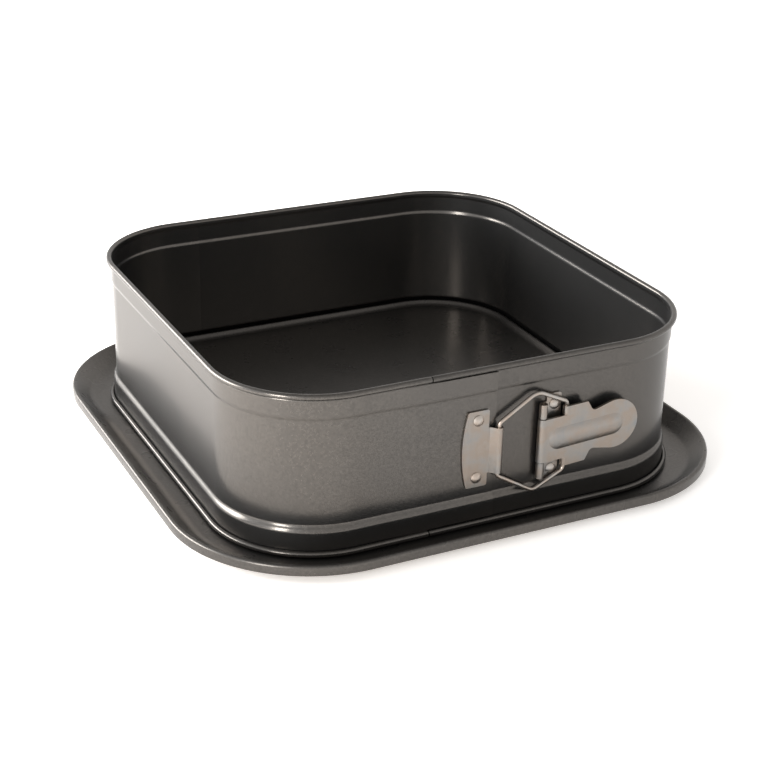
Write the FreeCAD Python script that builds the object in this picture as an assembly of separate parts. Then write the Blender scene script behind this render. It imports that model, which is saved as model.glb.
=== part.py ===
import FreeCAD, Part
import math
import os

from FreeCAD import Vector

# Square springform pan with rounded corners: a base tray, a side band that opens at
# the front, and an over-centre wire latch.  Millimetres.  X runs left to right along
# the front wall, Y runs from front to back, Z is up and the tray stands on Z = 0.

# ---- Side band ---------------------------------------------------------------------
SHEET = 0.6                 # thickness of the pressed steel sheet
CORNER_CENTRE = 69.34       # X and Y of the band's corner centres, all four alike
WALL_INSIDE = 116.86        # half-width inside the main wall
UPPER_INSIDE = 117.40       # half-width inside the upper zone, above the small ledge
LOWER_INSIDE = 118.45       # half-width inside the lower zone, below the step
LEDGE_BOTTOM = 67.2
LEDGE_TOP = 68.7
STEP_BOTTOM = 13.0
STEP_TOP = 15.2
RIM_RADIUS = 1.5            # outside radius of the curled rim
RIM_TOP = 80.5
RIM_CENTRE = 118.5          # half-width of the rim curl's centre
HEM_RADIUS = 1.45           # outside radius of the curled hem
HEM_BOTTOM = 0.9
CURL_END_ANGLE = 105.0      # where each curl stops, short of the wall

# ---- Opening of the band -----------------------------------------------------------
BEAD_END_LEFT = -34.0       # the rim and hem of the left end stop here
BEAD_END_RIGHT = -33.4      # and those of the right end start here
TONGUE_END = 0.0            # the left end's overlapping tongue runs on to here
TONGUE_OUT = 0.9            # the tongue lies this far outside the wall
STEP_NEST = 0.35            # its step sits higher and its ledge lower, so that
LEDGE_NEST = 0.2            # the gap between the two layers stays even
TONGUE_BOTTOM = 4.5
TONGUE_TOP = 77.1           # just under the right end's rim curl
JOGGLE_START = -64.0        # from here on the left end eases outward
FLEX_GAP = 0.3              # slit at the back, where the band's bending is gathered

# ---- Base tray ---------------------------------------------------------------------
PLATFORM_HALF = 116.5       # outside of the platform that the band closes round
FLOOR_HALF = 110.0
FLOOR_TOP = 11.4
BEAD_FOOT = 112.2
BEAD_CREST = 13.55
CHANNEL_HALF = 119.0        # the flat channel is one sheet from here ...
DISH_START = 124.5          # ... to here, where the flange's own profile begins
DISH_FOOT = 129.8
TRAY_HALF = 140.55
TRAY_CORNER_CENTRE = 71.27
TRAY_EDGE_VERTEX = 10.5
TRAY_EDGE_BOTTOM = 4.0

# ---- Latch -------------------------------------------------------------------------
LATCH_MID_Z = 38.5
HARDWARE_SHEET = 0.9
PIN_X = 24.0
PIN_Y = -120.3
PIN_RADIUS = 1.0
PIN_BOTTOM = 19.6           # recessed in both barrels
PIN_TOP = 56.3
RUNNING_CLEARANCE = 0.05
BRACKET_BARREL_RADIUS = 1.95
BARREL_END_GAP = 0.4
BRACKET_BARREL_BOTTOM = 19.1
BRACKET_BARREL_TOP = 57.0
BRACKET_LEFT = 26.8
BRACKET_RIGHT = 34.6
BRACKET_HALF = 22.2
BRACKET_RIVET_X = 31.0
BRACKET_RIVET_HALF = 16.7

LEVER_SHEET = 1.2
LEVER_BARREL_RADIUS = 2.25
LEVER_BODY_HALF = 11.0
LEVER_LEAN = 0.058          # rise of the arm's centre line per millimetre of length
EAR_START = 12.2            # distances along the arm, from the pin
EAR_END = 22.9
EAR_HALF = 15.2
NECK = 25.9
NECK_HALF = 9.6
ROUND_END = 38.7
ROUND_END_RADIUS = 12.4
RIB_START = 8.1
RIB_END = 37.6
RIB_RADIUS = 5.5
RIB_HEIGHT = 1.2

WIRE_RADIUS = 1.0
KEEPER_X = 0.85             # axis of the keeper's knuckle
KEEPER_Y = -120.5
HOOK_X = 36.8               # axis of the bail's leg in the lever's hook
HOOK_Y = -119.95
HOOK_CLEARANCE = 0.12
HOOK_TIP_Y = -120.2
KNUCKLE_HALF = 11.5
KNUCKLE_CLEARANCE = 0.06
KEEPER_MID_Z = 40.0
KEEPER_HALF = 19.2
KEEPER_RIGHT = -3.8
KEEPER_CORNER_LEFT = -14.6
KEEPER_BULGE = -17.2
KEEPER_RIVET_X = -9.4
KEEPER_RIVET_HALF = 14.5
BAIL_SHOULDER_X = 20.4      # the widest place of the six-sided loop
BAIL_SHOULDER_HALF = 25.4
BAIL_LEFT_HALF = 13.4
BAIL_RIGHT_HALF = 17.5

RIVET_SHANK = 1.6
RIVET_HEAD = 2.7
RIVET_RIM = 0.3             # straight edge of the head, below its dome
RIVET_DOME = 0.95

UP = Vector(0, 0, 1)
ORIGIN = Vector(0, 0, 0)
WALL_OUTSIDE_Y = -(WALL_INSIDE + SHEET)
TONGUE_OUTSIDE_Y = WALL_OUTSIDE_Y - TONGUE_OUT


def section_point(half, height):
    """A point of a side's cross-section, in the plane X = 0 at the front."""
    return Vector(0, -half, height)


def bent_edges(points, radii):
    """Straight runs between the points, with a tangent arc at each inner point."""
    edges = []
    start = points[0]
    for index in range(1, len(points) - 1):
        corner = points[index]
        incoming = (corner - points[index - 1]).normalize()
        outgoing = (points[index + 1] - corner).normalize()
        turn = incoming.getAngle(outgoing)
        setback = radii[index - 1] * math.tan(turn / 2)
        arc_start = corner - incoming * setback
        arc_end = corner + outgoing * setback
        inward = (outgoing - incoming).normalize()
        centre = corner + inward * (radii[index - 1] / math.cos(turn / 2))
        middle = centre - inward * radii[index - 1]
        edges.append(Part.makeLine(start, arc_start))
        edges.append(Part.Arc(arc_start, middle, arc_end).toShape())
        start = arc_end
    edges.append(Part.makeLine(start, points[-1]))
    return edges


def sheet_section(edges, thickness):
    """The cross-section of a bent sheet: the strip on one side of a line of edges."""
    return Part.Wire(edges).makeOffset2D(thickness, fill=True, openResult=True)


def curl_edge(half, height, radius, first, last):
    """An arc of a curled edge, from one angle to another by way of their middle."""
    def at(angle):
        turned = math.radians(angle)
        return section_point(half + radius * math.cos(turned), height + radius * math.sin(turned))
    return Part.Arc(at(first), at((first + last) / 2), at(last)).toShape()


HEM_HEIGHT = HEM_BOTTOM + HEM_RADIUS
RIM_HEIGHT = RIM_TOP - RIM_RADIUS


def hem_edge():
    return curl_edge(LOWER_INSIDE + HEM_RADIUS, HEM_HEIGHT, HEM_RADIUS, CURL_END_ANGLE, -180)


def rim_edge():
    return curl_edge(RIM_CENTRE, RIM_HEIGHT, RIM_RADIUS, 180, -CURL_END_ANGLE)


def below_rim():
    """The last points of the wall, where it leans in to meet the rim's curl."""
    return [
        section_point(UPPER_INSIDE, RIM_HEIGHT - 2.4),
        section_point(RIM_CENTRE - RIM_RADIUS, RIM_HEIGHT - 1.0),
        section_point(RIM_CENTRE - RIM_RADIUS, RIM_HEIGHT),
    ]


def band_section():
    wall = [
        section_point(LOWER_INSIDE, HEM_HEIGHT),
        section_point(LOWER_INSIDE, STEP_BOTTOM),
        section_point(WALL_INSIDE, STEP_TOP),
        section_point(WALL_INSIDE, LEDGE_BOTTOM),
        section_point(UPPER_INSIDE, LEDGE_TOP),
    ] + below_rim()
    bends = [1.2, 1.2, 0.9, 0.9, 1.0, 1.0]
    return sheet_section([hem_edge()] + bent_edges(wall, bends) + [rim_edge()], -SHEET)


def bead_sections():
    """The hem and the rim alone, each with a short stretch of wall."""
    foot = Part.makeLine(section_point(LOWER_INSIDE, HEM_HEIGHT),
                         section_point(LOWER_INSIDE, TONGUE_BOTTOM + 0.5))
    neck = bent_edges([section_point(UPPER_INSIDE, RIM_HEIGHT - 3.6)] + below_rim(), [1.0, 1.0])
    return [sheet_section([hem_edge(), foot], -SHEET), sheet_section(neck + [rim_edge()], -SHEET)]


def tongue_section(outward, step_up, ledge_down):
    wall = [
        section_point(LOWER_INSIDE + outward, TONGUE_BOTTOM),
        section_point(LOWER_INSIDE + outward, STEP_BOTTOM + step_up),
        section_point(WALL_INSIDE + outward, STEP_TOP + step_up),
        section_point(WALL_INSIDE + outward, LEDGE_BOTTOM - ledge_down),
        section_point(UPPER_INSIDE + outward, LEDGE_TOP - ledge_down),
        section_point(UPPER_INSIDE + outward, TONGUE_TOP),
    ]
    return sheet_section(bent_edges(wall, [1.2, 1.2, 0.9, 0.9]), -SHEET)


def run(section, first_x, last_x):
    """A straight stretch of the front side."""
    return section.translated(Vector(first_x, 0, 0)).extrude(Vector(last_x - first_x, 0, 0))


def corner(section, centre):
    """The front right corner."""
    start = section.translated(Vector(centre, 0, 0))
    return start.revolve(Vector(centre, -centre, 0), UP, 90)


def quarter_turned(shape, quarters):
    return shape.rotated(ORIGIN, UP, 90 * quarters)


def joined(shapes):
    return shapes[0].multiFuse(shapes[1:]).removeSplitter()


def closed_frame(section, centre):
    """A section carried all the way round a rounded square."""
    pieces = []
    for side in range(4):
        pieces.append(quarter_turned(run(section, -centre, centre), side))
        pieces.append(quarter_turned(corner(section, centre), side))
    return joined(pieces)


def rounded_square(half, centre):
    """A flat face, at Z = 0, with the same corner centres as the swept sections."""
    radius = half - centre
    outline = []
    for side in range(4):
        front = Part.makeLine(Vector(-centre, -half, 0), Vector(centre, -half, 0))
        diagonal = radius * math.sqrt(0.5)
        bend = Part.Arc(Vector(centre, -half, 0), Vector(centre + diagonal, -centre - diagonal, 0),
                        Vector(half, -centre, 0)).toShape()
        outline.append(quarter_turned(front, side))
        outline.append(quarter_turned(bend, side))
    return Part.Face(Part.Wire(outline))


def ring_right():
    section = band_section()
    span = CORNER_CENTRE
    pieces = [
        run(section, BEAD_END_RIGHT, span),
        corner(section, span),
        quarter_turned(run(section, -span, span), 1),
        quarter_turned(corner(section, span), 1),
        quarter_turned(run(section, -span, span - FLEX_GAP), 2),
    ]
    return joined(pieces)


def ring_left():
    section = band_section()
    span = CORNER_CENTRE
    joggle_from = tongue_section(0, 0, 0).translated(Vector(JOGGLE_START, 0, 0))
    tongue = tongue_section(TONGUE_OUT, STEP_NEST, LEDGE_NEST)
    joggle_to = tongue.translated(Vector(BEAD_END_LEFT, 0, 0))
    joggle = Part.makeLoft([joggle_from.OuterWire, joggle_to.OuterWire], True, True)
    pieces = [
        quarter_turned(corner(section, span), 2),
        quarter_turned(run(section, -span, span), 3),
        quarter_turned(corner(section, span), 3),
        run(section, -span, JOGGLE_START),
        run(bead_sections()[0], JOGGLE_START, BEAD_END_LEFT),
        run(bead_sections()[1], JOGGLE_START, BEAD_END_LEFT),
        joggle,
        run(tongue, BEAD_END_LEFT, TONGUE_END),
    ]
    return joined(pieces)


def base_tray():
    platform = sheet_section(bent_edges([
        section_point(FLOOR_HALF, FLOOR_TOP),
        section_point(BEAD_FOOT, FLOOR_TOP),
        section_point(BEAD_FOOT + 2.7, BEAD_CREST),
        section_point(PLATFORM_HALF, BEAD_CREST),
        section_point(PLATFORM_HALF, SHEET),
        section_point(CHANNEL_HALF, SHEET)], [1.5, 1.4, 1.1, 0.8]), -SHEET)
    flange = sheet_section(bent_edges([
        section_point(DISH_START, SHEET),
        section_point(DISH_FOOT, SHEET),
        section_point(TRAY_HALF, TRAY_EDGE_VERTEX),
        section_point(TRAY_HALF, TRAY_EDGE_BOTTOM)], [9.0, 1.3]), -SHEET)
    floor = rounded_square(FLOOR_HALF, CORNER_CENTRE).extrude(Vector(0, 0, SHEET))
    channel = rounded_square(DISH_START, TRAY_CORNER_CENTRE).extrude(Vector(0, 0, SHEET))
    inside_channel = rounded_square(CHANNEL_HALF, CORNER_CENTRE).extrude(Vector(0, 0, SHEET))
    return joined([
        floor.translated(Vector(0, 0, FLOOR_TOP - SHEET)),
        closed_frame(platform, CORNER_CENTRE),
        channel.cut(inside_channel),
        closed_frame(flange, TRAY_CORNER_CENTRE)])


def upright(x, y, radius, bottom, top):
    return Part.makeCylinder(radius, top - bottom, Vector(x, y, bottom), UP)


def plan_prism(points, bottom, top):
    """A solid with a polygon for its plan."""
    outline = [Vector(x, y, bottom) for x, y in points]
    return Part.Face(Part.makePolygon(outline + outline[:1])).extrude(Vector(0, 0, top - bottom))


def front_plate(edges, back_y, thickness):
    """A plate that stands on a front surface; its outline is drawn in X and Z."""
    face = Part.Face(Part.Wire(edges))
    return face.translated(Vector(0, back_y, 0)).extrude(Vector(0, -thickness, 0))


def rounded(shape, radius, spots):
    """Round the edges that run front to back through the given (x, z) spots."""
    chosen = []
    for edge in shape.Edges:
        middle = edge.CenterOfMass
        across = [vertex.Point for vertex in edge.Vertexes]
        if len(across) != 2 or abs(across[0].x - across[1].x) + abs(across[0].z - across[1].z) > 0.01:
            continue
        if any(math.hypot(middle.x - x, middle.z - z) < 0.05 for x, z in spots):
            chosen.append(edge)
    return shape.makeFillet(radius, chosen)


def rivet(x, z, plate_front, shank_end, tail_height):
    """A rivet with a domed head in front, through the plate to the given depth."""
    def at(radius, y):
        return Vector(x + radius, y, z)
    shoulder = plate_front - RIVET_RIM
    crown = shoulder - RIVET_DOME
    dome_radius = (RIVET_HEAD ** 2 + RIVET_DOME ** 2) / (2 * RIVET_DOME)
    half_angle = math.asin(RIVET_HEAD / dome_radius) / 2
    midway = at(dome_radius * math.sin(half_angle), crown + dome_radius * (1 - math.cos(half_angle)))
    corners = [at(RIVET_HEAD, shoulder), at(RIVET_HEAD, plate_front), at(RIVET_SHANK, plate_front),
               at(RIVET_SHANK, shank_end)]
    if tail_height:
        corners += [at(RIVET_HEAD, shank_end), at(RIVET_HEAD, shank_end + tail_height)]
    corners += [at(0, shank_end + tail_height), at(0, crown)]
    outline = Part.makePolygon(corners).Edges
    outline.append(Part.Arc(at(0, crown), midway, at(RIVET_HEAD, shoulder)).toShape())
    return Part.Face(Part.Wire(outline)).revolve(Vector(x, 0, z), Vector(0, 1, 0), 360)


def rivet_hole(x, z):
    return Part.makeCylinder(RIVET_SHANK, 20, Vector(x, WALL_OUTSIDE_Y - 10, z), Vector(0, 1, 0))


KEEPER_FRONT = TONGUE_OUTSIDE_Y - HARDWARE_SHEET
BRACKET_FRONT = WALL_OUTSIDE_Y - HARDWARE_SHEET
KEEPER_RIVETS = {"upper": KEEPER_MID_Z + KEEPER_RIVET_HALF, "lower": KEEPER_MID_Z - KEEPER_RIVET_HALF}
BRACKET_RIVETS = {"upper": LATCH_MID_Z + BRACKET_RIVET_HALF, "lower": LATCH_MID_Z - BRACKET_RIVET_HALF}


def keeper_plate():
    """Plate on the tongue, bowed on its left, with a rolled knuckle on its right."""
    top = KEEPER_MID_Z + KEEPER_HALF
    bottom = KEEPER_MID_Z - KEEPER_HALF
    upper_left = Vector(KEEPER_CORNER_LEFT, 0, top)
    lower_left = Vector(KEEPER_CORNER_LEFT, 0, bottom)
    upper_right = Vector(KEEPER_RIGHT, 0, top)
    lower_right = Vector(KEEPER_RIGHT, 0, bottom)
    bow = Part.Arc(lower_left, Vector(KEEPER_BULGE, 0, KEEPER_MID_Z), upper_left).toShape()
    outline = [bow, Part.makeLine(upper_left, upper_right), Part.makeLine(upper_right, lower_right),
               Part.makeLine(lower_right, lower_left)]
    plate = front_plate(outline, TONGUE_OUTSIDE_Y, HARDWARE_SHEET)
    plate = rounded(plate, 1.0, [(KEEPER_CORNER_LEFT, top), (KEEPER_CORNER_LEFT, bottom),
                                 (KEEPER_RIGHT, top), (KEEPER_RIGHT, bottom)])
    knuckle_bottom = LATCH_MID_Z - KNUCKLE_HALF
    knuckle_top = LATCH_MID_Z + KNUCKLE_HALF
    bore = WIRE_RADIUS + KNUCKLE_CLEARANCE
    roll = bore + HARDWARE_SHEET
    slant = roll * math.sqrt(0.5)
    ramp = plan_prism([
        (KEEPER_RIGHT - 0.1, TONGUE_OUTSIDE_Y), (KEEPER_RIGHT - 0.1, KEEPER_FRONT),
        (KEEPER_RIGHT + 0.7, KEEPER_FRONT), (KEEPER_X - slant, KEEPER_Y - slant),
        (KEEPER_X - roll, KEEPER_Y), (KEEPER_RIGHT + 1.1, TONGUE_OUTSIDE_Y)], knuckle_bottom, knuckle_top)
    barrel = upright(KEEPER_X, KEEPER_Y, roll, knuckle_bottom, knuckle_top)
    solid = joined([plate, ramp, barrel])
    solid = solid.cut(upright(KEEPER_X, KEEPER_Y, bore, knuckle_bottom - 1, knuckle_top + 1))
    for height in KEEPER_RIVETS.values():
        solid = solid.cut(rivet_hole(KEEPER_RIVET_X, height))
    return solid


def hinge_bracket():
    """Plate on the band's right end; its two barrels hold the hinge pin."""
    top = LATCH_MID_Z + BRACKET_HALF
    bottom = LATCH_MID_Z - BRACKET_HALF
    corners = [(BRACKET_LEFT, bottom), (BRACKET_RIGHT, bottom), (BRACKET_RIGHT, top), (BRACKET_LEFT, top)]
    points = [Vector(x, 0, z) for x, z in corners]
    outline = Part.makePolygon(points + points[:1]).Edges
    plate = rounded(front_plate(outline, WALL_OUTSIDE_Y, HARDWARE_SHEET), 1.5, corners)
    pieces = [plate]
    roll = BRACKET_BARREL_RADIUS
    inner = LEVER_BODY_HALF + BARREL_END_GAP
    for bottom_z, top_z in ((BRACKET_BARREL_BOTTOM, LATCH_MID_Z - inner),
                            (LATCH_MID_Z + inner, BRACKET_BARREL_TOP)):
        pieces.append(upright(PIN_X, PIN_Y, roll, bottom_z, top_z))
        pieces.append(plan_prism([
            (PIN_X, PIN_Y + roll), (PIN_X + 1.35, PIN_Y + 1.38), (BRACKET_LEFT - 0.2, BRACKET_FRONT),
            (BRACKET_LEFT + 0.8, BRACKET_FRONT), (BRACKET_LEFT + 0.8, WALL_OUTSIDE_Y),
            (BRACKET_LEFT - 1.3, WALL_OUTSIDE_Y)], bottom_z, top_z))
    solid = joined(pieces)
    solid = solid.cut(upright(PIN_X, PIN_Y, PIN_RADIUS, bottom - 1, top + 1))
    for height in BRACKET_RIVETS.values():
        solid = solid.cut(rivet_hole(BRACKET_RIVET_X, height))
    return solid


def hinge_pin():
    pin = upright(PIN_X, PIN_Y, PIN_RADIUS, PIN_BOTTOM, PIN_TOP)
    ends = [edge for edge in pin.Edges if edge.Closed]
    return pin.makeChamfer(0.25, ends)


def on_arm(along, across):
    """A point of the lever's plate, by its distance from the pin and from the centre line."""
    return Vector(PIN_X + along, 0, LATCH_MID_Z + across + LEVER_LEAN * along)


def half_outline(side):
    """Corners of one edge of the arm, from the pin to where the round end begins."""
    neck_along = NECK - ROUND_END
    reach = math.hypot(neck_along, NECK_HALF)
    touch = math.atan2(NECK_HALF, neck_along) - math.acos(ROUND_END_RADIUS / reach)
    return [
        on_arm(0, side * LEVER_BODY_HALF), on_arm(EAR_START, side * LEVER_BODY_HALF),
        on_arm(EAR_START, side * EAR_HALF), on_arm(EAR_END, side * EAR_HALF),
        on_arm(NECK, side * NECK_HALF),
        on_arm(ROUND_END + ROUND_END_RADIUS * math.cos(touch),
               side * ROUND_END_RADIUS * math.sin(touch))]


def ear_hook(side):
    """The rolled edge of one ear, which pulls on the bail's leg."""
    outer = PIN_Y - LEVER_BARREL_RADIUS
    inner = outer + LEVER_SHEET
    catch = HOOK_X - WIRE_RADIUS - HOOK_CLEARANCE
    left = catch - LEVER_SHEET * 0.9
    bend_end = PIN_X + EAR_START
    diagonal = math.sqrt(0.5)
    big = bend_end - left
    small = bend_end - catch
    low = min(side * LEVER_BODY_HALF, side * EAR_HALF) + LEVER_LEAN * EAR_START
    height = EAR_HALF - LEVER_BODY_HALF

    def at(x, y):
        return Vector(x, y, LATCH_MID_Z + low)
    big_bend = Part.Arc(at(bend_end, outer), at(bend_end - big * diagonal, outer + big * (1 - diagonal)),
                        at(left, outer + big)).toShape()
    small_bend = Part.Arc(at(catch, inner + small), at(bend_end - small * diagonal,
                          inner + small * (1 - diagonal)), at(bend_end, inner)).toShape()
    outline = [
        big_bend,
        Part.makeLine(at(left, outer + big), at(left, HOOK_TIP_Y)),
        Part.makeLine(at(left, HOOK_TIP_Y), at(catch, HOOK_TIP_Y)),
        Part.makeLine(at(catch, HOOK_TIP_Y), at(catch, inner + small)),
        small_bend,
        Part.makeLine(at(bend_end, inner), at(bend_end, outer))]
    return Part.Face(Part.Wire(outline)).extrude(Vector(0, 0, height))


def lever_rib():
    """The pressed rib: a low mound with a bowed section and round ends."""
    front = PIN_Y - LEVER_BARREL_RADIUS
    bow_radius = (RIB_RADIUS ** 2 + RIB_HEIGHT ** 2) / (2 * RIB_HEIGHT)
    sunk = Vector(0, front + bow_radius - RIB_HEIGHT, 0)
    start = on_arm(RIB_START, 0) + sunk
    end = on_arm(RIB_END, 0) + sunk
    bow = Part.makeCylinder(bow_radius, (end - start).Length, start, end - start)
    solid = joined([bow, Part.makeSphere(bow_radius, start), Part.makeSphere(bow_radius, end)])
    block = Part.makeBox(80, 4, 40, Vector(PIN_X - 15, front - 4, LATCH_MID_Z - 20))
    return solid.common(block)


def latch_lever():
    front = PIN_Y - LEVER_BARREL_RADIUS
    upper = half_outline(1)
    lower = half_outline(-1)
    edges = []
    for corners in (upper, lower):
        for first, second in zip(corners, corners[1:]):
            edges.append(Part.makeLine(first, second))
    tip = Part.Arc(upper[-1], on_arm(ROUND_END + ROUND_END_RADIUS, 0), lower[-1]).toShape()
    edges.append(tip)
    edges.append(Part.makeLine(lower[0], upper[0]))
    plate = front_plate(Part.__sortEdges__(edges), front + LEVER_SHEET, LEVER_SHEET)
    necks = [(corners[4].x, corners[4].z) for corners in (upper, lower)]
    ears = [(corners[3].x, corners[3].z) for corners in (upper, lower)]
    plate = rounded(plate, 2.6, necks)
    plate = rounded(plate, 0.8, ears)
    barrel = upright(PIN_X, PIN_Y, LEVER_BARREL_RADIUS, LATCH_MID_Z - LEVER_BODY_HALF,
                     LATCH_MID_Z + LEVER_BODY_HALF)
    solid = joined([plate, barrel, ear_hook(1), ear_hook(-1), lever_rib()])
    bore = PIN_RADIUS + RUNNING_CLEARANCE
    return solid.cut(upright(PIN_X, PIN_Y, bore, LATCH_MID_Z - 20, LATCH_MID_Z + 20))


def wire_bail():
    """Six-sided wire loop between the keeper's knuckle and the lever's hook."""
    def at(x, height):
        share = (x - KEEPER_X) / (HOOK_X - KEEPER_X)
        return Vector(x, KEEPER_Y + share * (HOOK_Y - KEEPER_Y), LATCH_MID_Z + height)
    start = at(KEEPER_X, 0)
    corners = [
        start, at(KEEPER_X, BAIL_LEFT_HALF), at(BAIL_SHOULDER_X, BAIL_SHOULDER_HALF),
        at(HOOK_X, BAIL_RIGHT_HALF), at(HOOK_X, -BAIL_RIGHT_HALF),
        at(BAIL_SHOULDER_X, -BAIL_SHOULDER_HALF), at(KEEPER_X, -BAIL_LEFT_HALF), start]
    route = Part.Wire(bent_edges(corners, [2.2, 7.0, 2.6, 2.6, 5.0, 2.2]))
    ring = Part.Wire(Part.makeCircle(WIRE_RADIUS, start, UP))
    bail = route.makePipeShell([ring], True, False)
    print("bail volume over section times length:", bail.Volume / (math.pi * WIRE_RADIUS ** 2 * route.Length))
    return bail


def build():
    left_band = ring_left()
    right_band = ring_right()
    nodes = {}
    for name, height in KEEPER_RIVETS.items():
        left_band = left_band.cut(rivet_hole(KEEPER_RIVET_X, height))
        nodes["keeper_rivet_" + name] = rivet(KEEPER_RIVET_X, height, KEEPER_FRONT,
                                              TONGUE_OUTSIDE_Y + SHEET, 0)
    for name, height in BRACKET_RIVETS.items():
        right_band = right_band.cut(rivet_hole(BRACKET_RIVET_X, height))
        nodes["bracket_rivet_" + name] = rivet(BRACKET_RIVET_X, height, BRACKET_FRONT, -WALL_INSIDE, 0.4)
    nodes["base_tray"] = base_tray()
    nodes["ring_left"] = left_band
    nodes["ring_right"] = right_band
    nodes["keeper_plate"] = keeper_plate()
    nodes["wire_bail"] = wire_bail()
    nodes["hinge_bracket"] = hinge_bracket()
    nodes["hinge_pin"] = hinge_pin()
    nodes["latch_lever"] = latch_lever()
    return nodes


os.makedirs("parts", exist_ok=True)
for node, shape in build().items():
    print(node, "valid" if shape.isValid() else "INVALID", len(shape.Solids), round(shape.Volume, 1))
    shape.exportStep("parts/" + node + ".step")
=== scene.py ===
import math

import bpy
import numpy as np
from mathutils import Matrix, Vector


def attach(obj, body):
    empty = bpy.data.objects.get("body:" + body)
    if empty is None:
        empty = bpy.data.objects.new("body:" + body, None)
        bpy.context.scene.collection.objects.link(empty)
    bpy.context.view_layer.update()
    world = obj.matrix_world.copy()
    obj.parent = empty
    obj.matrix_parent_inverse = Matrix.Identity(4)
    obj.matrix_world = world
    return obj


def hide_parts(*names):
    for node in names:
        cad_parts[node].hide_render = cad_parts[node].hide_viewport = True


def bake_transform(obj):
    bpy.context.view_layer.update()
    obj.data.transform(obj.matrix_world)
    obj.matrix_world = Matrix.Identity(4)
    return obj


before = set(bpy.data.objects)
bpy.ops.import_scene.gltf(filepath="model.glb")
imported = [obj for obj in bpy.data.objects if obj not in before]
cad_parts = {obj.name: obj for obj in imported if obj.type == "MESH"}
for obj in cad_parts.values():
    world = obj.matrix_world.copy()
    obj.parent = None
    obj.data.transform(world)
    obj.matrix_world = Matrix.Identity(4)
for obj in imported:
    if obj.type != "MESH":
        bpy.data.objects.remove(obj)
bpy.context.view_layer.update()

# Lengths are in millimetres, in the CAD model's own frame, and MM turns them to metres.
# Materials, floor and lights are in metres.
MM = 0.001
UP = Vector((0, 0, 1))

# The four sides by their outward normals, in the order that a sweep goes round them.
FRONT, RIGHT, BACK, LEFT = range(4)
SIDES = [Vector((0, -1, 0)), Vector((1, 0, 0)), Vector((0, 1, 0)), Vector((-1, 0, 0))]

SHEET = 0.6
CORNER_STEPS = 40           # sections round each corner
BAND_CENTRE = 69.34         # corner centres of the band and of the tray's platform
FLANGE_CENTRE = 71.27       # corner centres of the tray's flange

BEAD_END_LEFT = -34.0       # X where the rim and hem of the band's left end stop
BEAD_END_RIGHT = -33.4      # X where those of its right end stop
TONGUE_END = 0.0            # X where the left end's tongue stops
BACK_JOIN = -55.0           # X at the back wall where the two band meshes meet

STEP_INSIDE = 118.45        # half width of the band's inside below its step
WALL_INSIDE = 116.86        # between its step and its ledge
LEDGE_INSIDE = 117.40       # above its ledge
RIM_INSIDE = 117.0          # where it meets the rim
HEM_CENTRE = (119.9, 2.35)  # half width and height of the hem curl's centre
HEM_RADIUS = 1.45
RIM_CENTRE = (118.5, 79.0)
RIM_RADIUS = 1.5

JOGGLE_START = -64.0        # X from which the left end eases outward to its tongue
TONGUE_OUT = 0.9            # how far outward the tongue lies
TONGUE_BOTTOM = 4.5
TONGUE_TOP = 77.1
STEP_NEST = 0.35            # how far the tongue's step lies above the band's
STEP_SPAN = (12.0, 17.0)    # heights that hold the step
LEDGE_NEST = 0.2            # how far the tongue's ledge lies below the band's
LEDGE_SPAN = (66.0, 70.0)   # heights that hold the ledge
LEAN_START = 76.0           # above this the wall leans in to the rim, and the tongue doesn't

CHANNEL_SPAN = (119.0, 124.5)   # half widths over which the tray's corner centres change


# ---- Sheet metal sections and sweeps ------------------------------------------------
def bent_line(points, radii, steps=5):
    """Points along straight runs joined by tangent arcs; radius 0 keeps a point as it is."""
    line = [np.array(points[0], float)]
    for index, radius in enumerate(radii, start=1):
        corner = np.array(points[index], float)
        if radius == 0:
            line.append(corner)
            continue
        incoming = corner - points[index - 1]
        outgoing = np.array(points[index + 1], float) - corner
        incoming /= np.linalg.norm(incoming)
        outgoing /= np.linalg.norm(outgoing)
        turn = math.acos(np.clip(incoming @ outgoing, -1, 1))
        inward = outgoing - incoming
        inward /= np.linalg.norm(inward)
        centre = corner + inward * radius / math.cos(turn / 2)
        first = corner - incoming * radius * math.tan(turn / 2) - centre
        side = np.sign(incoming[0] * outgoing[1] - incoming[1] * outgoing[0])
        for step in range(steps + 1):
            angle = side * turn * step / steps
            cosine, sine = math.cos(angle), math.sin(angle)
            turned = np.array([[cosine, -sine], [sine, cosine]])
            line.append(centre + turned @ first)
    line.append(np.array(points[-1], float))
    return line


def arc_line(half, height, radius, first, last, steps):
    """Points of a curl round a centre, from the first angle to the last, in degrees."""
    angles = np.radians(np.linspace(first, last, steps + 1))
    return [np.array([half + radius * math.cos(a), height + radius * math.sin(a)])
            for a in angles]


def straight(side, start, end, count):
    """Stations along one side: its normal, the next side's normal, how far along, no turn."""
    return [(SIDES[side], SIDES[(side + 1) % 4], along, None)
            for along in np.linspace(start, end, count)]


def rounded_corner(side):
    """Stations round the corner after a side, without its two ends."""
    angles = np.linspace(0, math.pi / 2, CORNER_STEPS + 1)[1:-1]
    return [(SIDES[side], SIDES[(side + 1) % 4], None, angle) for angle in angles]


def place(station, half, height, centre):
    """The point of a station's section that is half from the middle plane and height up."""
    normal, following, along, angle = station
    if angle is None:
        reach = np.clip(along, -BAND_CENTRE, BAND_CENTRE) * centre / BAND_CENTRE
        point = normal * half + following * reach
    else:
        outward = normal * math.cos(angle) + following * math.sin(angle)
        point = (normal + following) * centre
        point = point + outward * (half - centre)
    return (point + UP * height) * MM


def mesh_piece(name, vertices, faces, material):
    """A smooth shaded mesh object with one material."""
    mesh = bpy.data.meshes.new(name)
    mesh.from_pydata([tuple(v) for v in vertices], [], faces)
    mesh.validate()
    mesh.polygons.foreach_set("use_smooth", [True] * len(mesh.polygons))
    mesh.materials.append(material)
    piece = bpy.data.objects.new(name, mesh)
    bpy.context.scene.collection.objects.link(piece)
    return piece


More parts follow.
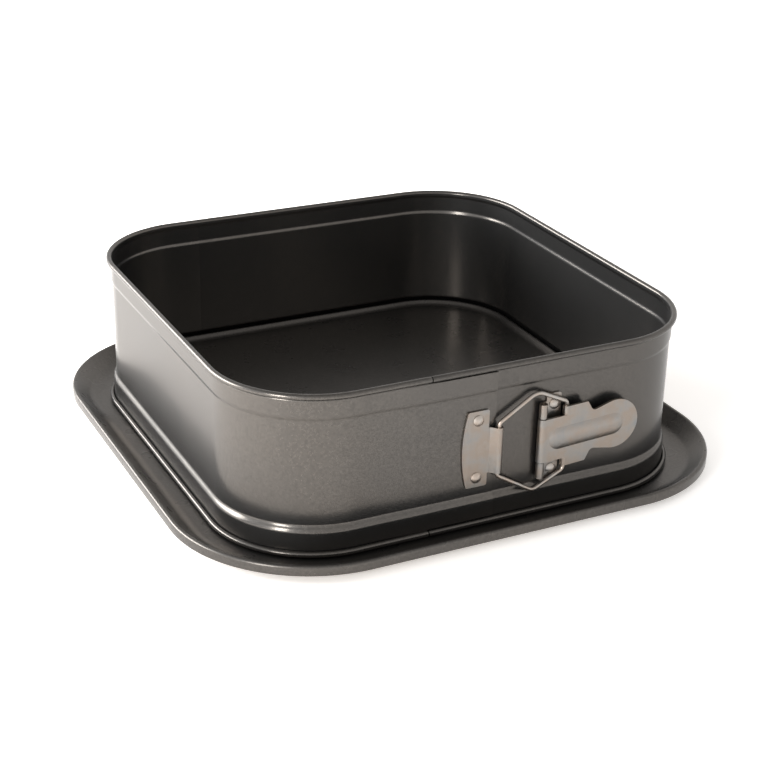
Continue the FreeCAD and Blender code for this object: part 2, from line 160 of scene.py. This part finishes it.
def thicken(piece, thickness, offset):
    """Give a sheet its thickness and keep its flats crisp beside its bends."""
    solid = piece.modifiers.new("sheet", "SOLIDIFY")
    solid.thickness = thickness * MM
    solid.offset = offset
    solid.use_even_offset = True
    solid.use_quality_normals = True
    weighted = piece.modifiers.new("flats", "WEIGHTED_NORMAL")
    weighted.keep_sharp = True
    weighted.weight = 80
    return piece


# ---- Materials ----------------------------------------------------------------------
class Graph:
    """Adds nodes to a new material and links them. Noise runs on object coordinates."""

    def __init__(self, name):
        self.material = bpy.data.materials.new(name)
        self.material.use_nodes = True
        self.tree = self.material.node_tree
        self.shader = self.tree.nodes["Principled BSDF"]
        self.coords = self.add("ShaderNodeTexCoord").outputs["Object"]

    def add(self, kind, **values):
        node = self.tree.nodes.new(kind)
        for key, value in values.items():
            setattr(node, key, value)
        return node

    def link(self, source, target):
        self.tree.links.new(source, target)

    def mapped(self, scale):
        """Object coordinates stretched along each axis."""
        node = self.add("ShaderNodeMapping")
        node.inputs["Scale"].default_value = scale
        self.link(self.coords, node.inputs["Vector"])
        return node.outputs["Vector"]

    def noise(self, scale, detail=3.0, roughness=0.5, vector=None):
        node = self.add("ShaderNodeTexNoise")
        node.inputs["Scale"].default_value = scale
        node.inputs["Detail"].default_value = detail
        node.inputs["Roughness"].default_value = roughness
        self.link(vector if vector is not None else self.coords, node.inputs["Vector"])
        return node.outputs["Fac"]

    def ramp(self, source, stops):
        node = self.add("ShaderNodeValToRGB")
        elements = node.color_ramp.elements
        while len(elements) < len(stops):
            elements.new(0.5)
        for element, (position, colour) in zip(elements, stops):
            element.position = position
            element.color = (*colour, 1.0)
        self.link(source, node.inputs["Fac"])
        return node.outputs["Color"]

    def span(self, source, low, high, from_low, from_high):
        """Map the range from_low to from_high to the range low to high."""
        node = self.add("ShaderNodeMapRange")
        node.inputs["From Min"].default_value = from_low
        node.inputs["From Max"].default_value = from_high
        node.inputs["To Min"].default_value = low
        node.inputs["To Max"].default_value = high
        self.link(source, node.inputs["Value"])
        return node.outputs["Result"]

    def bump(self, height, distance, strength, below=None):
        node = self.add("ShaderNodeBump")
        node.inputs["Distance"].default_value = distance
        node.inputs["Strength"].default_value = strength
        self.link(height, node.inputs["Height"])
        if below is not None:
            self.link(below, node.inputs["Normal"])
        return node.outputs["Normal"]


def warm(value, warmth):
    """A grey with red raised and blue lowered by that share."""
    return (value * (1 + warmth), value, value * (1 - warmth))


def nonstick(name, tone, rough_low, rough_high):
    """Dark metal-flake nonstick: a glossy metal base under a satin clear coat."""
    graph = Graph(name)
    shader = graph.shader
    shader.inputs["Metallic"].default_value = 1.0
    shader.inputs["Coat Weight"].default_value = 1.0
    shader.inputs["Coat Roughness"].default_value = 0.5
    shader.inputs["Coat IOR"].default_value = 1.42
    shader.inputs["Specular Tint"].default_value = (0.6, 0.6, 0.6, 1.0)
    clouds = graph.noise(14.0, detail=4.0)
    flakes = graph.noise(850.0, detail=2.0, roughness=0.6)
    blotched = graph.ramp(clouds, [
        (0.3, warm(tone * 0.93, 0.09)), (0.7, warm(tone * 1.07, 0.12))])
    sparkle = graph.ramp(flakes, [(0.3, warm(0.80, 0.0)), (0.7, warm(1.20, 0.0))])
    mixed = graph.add("ShaderNodeMix", data_type="RGBA", blend_type="MULTIPLY")
    mixed.inputs["Factor"].default_value = 1.0
    graph.link(blotched, mixed.inputs["A"])
    graph.link(sparkle, mixed.inputs["B"])
    graph.link(mixed.outputs["Result"], shader.inputs["Base Color"])
    patches = graph.noise(55.0, detail=3.0)
    roughness = graph.span(patches, rough_low, rough_high, 0.3, 0.7)
    graph.link(roughness, shader.inputs["Roughness"])
    waves = graph.noise(9.0, detail=1.0)
    soft = graph.bump(waves, 0.0004, 0.5)
    graph.link(graph.bump(flakes, 0.00001, 0.3, soft), shader.inputs["Normal"])
    return graph.material


def plated_steel(name, tone, stretch, rough_low, rough_high):
    """Thin bright plating on sheet steel, with rolling marks and faint heat tints."""
    graph = Graph(name)
    shader = graph.shader
    shader.inputs["Metallic"].default_value = 1.0
    tints = graph.noise(95.0, detail=3.0, roughness=0.6)
    bluish = (tone * 0.92, tone * 0.93, tone * 0.94)
    straw = (tone * 1.12, tone * 0.94, tone * 0.80)
    colour = graph.ramp(tints, [
        (0.28, bluish), (0.45, warm(tone, 0.08)), (0.6, straw), (0.75, warm(tone * 1.08, 0.10))])
    graph.link(colour, shader.inputs["Base Color"])
    marks = graph.noise(600.0, detail=3.0, vector=graph.mapped(stretch))
    roughness = graph.span(marks, rough_low, rough_high, 0.3, 0.7)
    graph.link(roughness, shader.inputs["Roughness"])
    dents = graph.noise(160.0, detail=2.0)
    soft = graph.bump(dents, 0.0002, 0.35)
    graph.link(graph.bump(marks, 0.00002, 0.4, soft), shader.inputs["Normal"])
    return graph.material


# The two band coats are lit and shaded copies of one coating: the right band's tone is set darker
# than the left's to paint the shade that falls on the right part of the band.
LEFT_COAT = nonstick("band_left_coat", 0.076, 0.17, 0.22)
SHADED_RIGHT_COAT = nonstick("band_right_coat_shaded", 0.066, 0.18, 0.23)
TRAY_COAT = nonstick("tray_coat", 0.068, 0.26, 0.32)
PLATE = plated_steel("plated_sheet", 0.26, (1.0, 1.0, 0.08), 0.30, 0.42)
WIRE = plated_steel("drawn_wire", 0.38, (1.0, 1.0, 1.0), 0.32, 0.42)


# ---- Side band ----------------------------------------------------------------------
def band_line():
    """The band's section, inside face, from the hem's curl up to the rim's curl."""
    wall_points = [
        (STEP_INSIDE, HEM_CENTRE[1]), (STEP_INSIDE, TONGUE_BOTTOM), (STEP_INSIDE, 13.0),
        (WALL_INSIDE, 15.2), (WALL_INSIDE, 26.0), (WALL_INSIDE, 40.0), (WALL_INSIDE, 54.0),
        (WALL_INSIDE, 67.2), (LEDGE_INSIDE, 68.7), (LEDGE_INSIDE, 76.6),
        (117.26, TONGUE_TOP), (RIM_INSIDE, 78.0), (RIM_INSIDE, RIM_CENTRE[1])]
    wall = bent_line(wall_points, [0, 3.4, 3.4, 0, 0, 0, 3.6, 3.6, 1.0, 0, 1.0])
    hem = arc_line(*HEM_CENTRE, HEM_RADIUS, 105, -180, 16)
    rim = arc_line(*RIM_CENTRE, RIM_RADIUS, 180, -105, 18)
    return hem[:-1], wall, rim[1:]


HEM_LINE, WALL_LINE, RIM_LINE = band_line()
SECTION = HEM_LINE + WALL_LINE + RIM_LINE
TONGUE_ROWS = [row for row, point in enumerate(SECTION)
               if len(HEM_LINE) <= row < len(HEM_LINE) + len(WALL_LINE)
               and TONGUE_BOTTOM - 0.01 <= point[1] <= TONGUE_TOP + 0.01]


def smooth(value):
    """Ease from 0 to 1, level at both ends."""
    value = min(max(value, 0.0), 1.0)
    return value * value * (3 - 2 * value)


def eased_out(half, height, share):
    """A wall point moved by a share of the way to its place in the tongue."""
    moved = half + TONGUE_OUT * share
    if height > LEAN_START:
        moved += (LEDGE_INSIDE - half) * share
    if STEP_SPAN[0] < height < STEP_SPAN[1]:
        height += STEP_NEST * share
    if LEDGE_SPAN[0] < height < LEDGE_SPAN[1]:
        height -= LEDGE_NEST * share
    return moved, height


def band_mesh(name, stations, material, joggle=None):
    """Sweep the section along the stations.

    joggle holds two station numbers. The wall eases outward from the first, and after the
    second only the tongue's rows go on.
    """
    vertices = []
    faces = []
    known = {}
    for number, station in enumerate(stations):
        rows = range(len(SECTION))
        share = 0.0
        if joggle is not None and number >= joggle[0]:
            share = smooth((station[2] - JOGGLE_START) / (BEAD_END_LEFT - JOGGLE_START))
        if joggle is not None and number > joggle[1]:
            rows = TONGUE_ROWS
        for row in rows:
            half, height = SECTION[row]
            if share and row in TONGUE_ROWS:
                half, height = eased_out(half, height, share)
            known[number, row] = len(vertices)
            vertices.append(place(station, half, height, BAND_CENTRE))
    for number in range(len(stations) - 1):
        for row in range(len(SECTION) - 1):
            corners = [(number, row), (number + 1, row), (number + 1, row + 1), (number, row + 1)]
            if all(corner in known for corner in corners):
                faces.append([known[corner] for corner in corners])
    return mesh_piece(name, vertices, faces, material)


def right_band():
    """Front wall from the beads' ends, right wall, and the back wall as far as the join."""
    stations = straight(FRONT, BEAD_END_RIGHT, BAND_CENTRE, 10) + rounded_corner(FRONT)
    stations += straight(RIGHT, -BAND_CENTRE, BAND_CENTRE, 12) + rounded_corner(RIGHT)
    stations += straight(BACK, -BAND_CENTRE, -BACK_JOIN, 12)
    piece = thicken(band_mesh("band_right_sheet", stations, SHADED_RIGHT_COAT), SHEET, 1)
    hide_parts("ring_right")
    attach(piece, "band_right")


def left_band():
    """Back wall from the join, left wall, and the front wall to the end of the tongue.
    """
    stations = straight(BACK, -BACK_JOIN, BAND_CENTRE, 3) + rounded_corner(BACK)
    stations += straight(LEFT, -BAND_CENTRE, BAND_CENTRE, 12) + rounded_corner(LEFT)
    stations += straight(FRONT, -BAND_CENTRE, JOGGLE_START, 3)
    first_out = len(stations) - 1
    stations += straight(FRONT, JOGGLE_START, BEAD_END_LEFT, 16)[1:]
    last_bead = len(stations) - 1
    stations += straight(FRONT, BEAD_END_LEFT, TONGUE_END, 5)[1:]
    sheet = band_mesh("band_left_sheet", stations, LEFT_COAT, (first_out, last_bead))
    piece = thicken(sheet, SHEET, 1)
    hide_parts("ring_left")
    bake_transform(piece)


# ---- Base tray ----------------------------------------------------------------------
def tray_centre(half):
    """The corner centre goes from the platform's to the flange's across the flat channel."""
    inner, outer = CHANNEL_SPAN
    share = min(max((half - inner) / (outer - inner), 0.0), 1.0)
    return BAND_CENTRE + (FLANGE_CENTRE - BAND_CENTRE) * share


def tray():
    """Raised floor, the bead round it, the flat channel and the dished flange."""
    floor_top, bead_top, channel_top = 11.4, 13.55, 0.6
    platform, edge = 116.5, 140.55
    points = [(half, floor_top) for half in (76.0, 84.0, 92.0, 100.0, 106.0, 110.0, 112.2)]
    points += [(114.9, bead_top), (platform, bead_top), (platform, channel_top)]
    points += [(half, channel_top) for half in (*CHANNEL_SPAN, 129.8)]
    points += [(edge, 10.5), (edge, 4.0)]
    line = bent_line(points, [0, 0, 0, 0, 0, 5.0, 1.4, 1.1, 0.8, 0, 0, 9.0, 1.3], 7)
    loop = []
    for side in range(4):
        loop += straight(side, -BAND_CENTRE, BAND_CENTRE, 12) + rounded_corner(side)
    rows = len(line)
    vertices = [place(station, half, height, tray_centre(half))
                for station in loop for half, height in line]
    faces = []
    for index in range(len(loop)):
        following = (index + 1) % len(loop)
        for row in range(rows - 1):
            here, there = index * rows + row, following * rows + row
            faces.append([here, here + 1, there + 1, there])
    faces.append([index * rows for index in range(len(loop))])
    piece = thicken(mesh_piece("tray_sheet", vertices, faces, TRAY_COAT), SHEET, -1)
    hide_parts("base_tray")
    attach(piece, "base")


right_band()
left_band()
tray()

# ---- Latch --------------------------------------------------------------------------
for node, material in (("keeper_plate", PLATE), ("hinge_bracket", PLATE), ("latch_lever", PLATE),
                       ("keeper_rivet_upper", WIRE), ("keeper_rivet_lower", WIRE),
                       ("bracket_rivet_upper", WIRE), ("bracket_rivet_lower", WIRE),
                       ("wire_bail", WIRE), ("hinge_pin", WIRE)):
    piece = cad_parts[node]
    piece.data.materials.clear()
    piece.data.materials.append(material)


# ---- Floor, light and camera --------------------------------------------------------
def floor():
    """A pale floor that glows with painted light, brightest behind and to the left of the pan."""
    graph = Graph("studio_floor")
    shader = graph.shader
    shader.inputs["Roughness"].default_value = 0.9
    shader.inputs["Specular IOR Level"].default_value = 0.1
    tone = graph.ramp(graph.noise(3.0), [(0.3, warm(0.93, 0.0)), (0.7, warm(0.95, 0.0))])
    graph.link(tone, shader.inputs["Base Color"])
    # Painted light: the floor's emission is a pool of light, brightest behind and to the left of
    # the pan.
    across = graph.add("ShaderNodeVectorMath", operation="DOT_PRODUCT")
    across.inputs[1].default_value = (-0.6, 0.8, 0.0)
    graph.link(graph.coords, across.inputs[0])
    painted_floor_glow = graph.ramp(graph.span(across.outputs["Value"], 0.0, 1.0, -0.25, 0.15), [
        (0.0, warm(0.19, 0.0)), (0.55, (0.21, 0.19, 0.17)), (1.0, (0.60, 0.56, 0.52))])
    graph.link(painted_floor_glow, shader.inputs["Emission Color"])
    shader.inputs["Emission Strength"].default_value = 2.0
    reach = 6.0
    corners = [(-reach, -reach, 0), (reach, -reach, 0), (reach, reach, 0), (-reach, reach, 0)]
    piece = mesh_piece("studio_floor", corners, [[0, 1, 2, 3]], graph.material)


def area_light(name, location, target, size, power):
    """A white rectangular lamp, in metres and watts, that faces its target."""
    data = bpy.data.lights.new(name, "AREA")
    data.shape = "RECTANGLE"
    data.size, data.size_y = size
    data.energy = power
    lamp = bpy.data.objects.new(name, data)
    lamp.location = location
    lamp.rotation_mode = "QUATERNION"
    lamp.rotation_quaternion = (Vector(target) - Vector(location)).to_track_quat("-Z", "Y")
    bpy.context.scene.collection.objects.link(lamp)


def studio():
    """Floor, a dome that darkens from 30 degrees up, a broad key lamp and a narrow one."""
    floor()
    world = bpy.data.worlds.new("studio")
    world.use_nodes = True
    tree = world.node_tree
    coords = tree.nodes.new("ShaderNodeTexCoord")
    split = tree.nodes.new("ShaderNodeSeparateXYZ")
    graded = tree.nodes.new("ShaderNodeValToRGB")
    graded.color_ramp.elements.new(0.5)
    stops = ((0.5, 1.08), (0.75, 0.68), (1.0, 0.44))    # sine of the height angle, grey level
    for element, (position, value) in zip(graded.color_ramp.elements, stops):
        element.position = position
        element.color = (value, value * 0.985, value * 0.97, 1)
    tree.links.new(coords.outputs["Generated"], split.inputs[0])
    tree.links.new(split.outputs["Z"], graded.inputs["Fac"])
    tree.links.new(graded.outputs["Color"], tree.nodes["Background"].inputs["Color"])
    tree.nodes["Background"].inputs["Strength"].default_value = 1.0
    bpy.context.scene.world = world
    target = (0, 0, 0.05)
    area_light("key_left", (-1.5, 1.15, 0.65), target, (2.0, 0.8), 74.0)
    area_light("strip_left", (-1.0, -0.7, 0.33), target, (0.26, 0.62), 9.0)
    bpy.context.scene.view_settings.view_transform = "Standard"


def camera():
    """A long lens at the left of the front, looking down and tilted slightly."""
    azimuth, elevation, roll = (math.radians(a) for a in (-26.82, 24.776, 1.315))
    target = Vector((-9.745, -30.819, 32.45))
    distance = 827.86
    back = Vector((math.sin(azimuth) * math.cos(elevation),
                   -math.cos(azimuth) * math.cos(elevation),
                   math.sin(elevation)))
    right = (-back).cross(UP).normalized()
    above = right.cross(-back)
    right, above = (right * math.cos(roll) + above * math.sin(roll),
                    above * math.cos(roll) - right * math.sin(roll))
    data = bpy.data.cameras.new("camera")
    data.lens = 76.6
    data.sensor_width = 36.0
    data.clip_start = 0.01
    viewer = bpy.data.objects.new("camera", data)
    rows = [(*axes, 0) for axes in zip(right, above, back)]
    viewer.matrix_world = Matrix(rows + [(0, 0, 0, 1)])
    viewer.location = (target + back * distance) * MM
    bpy.context.scene.collection.objects.link(viewer)
    bpy.context.scene.camera = viewer


studio()
camera()
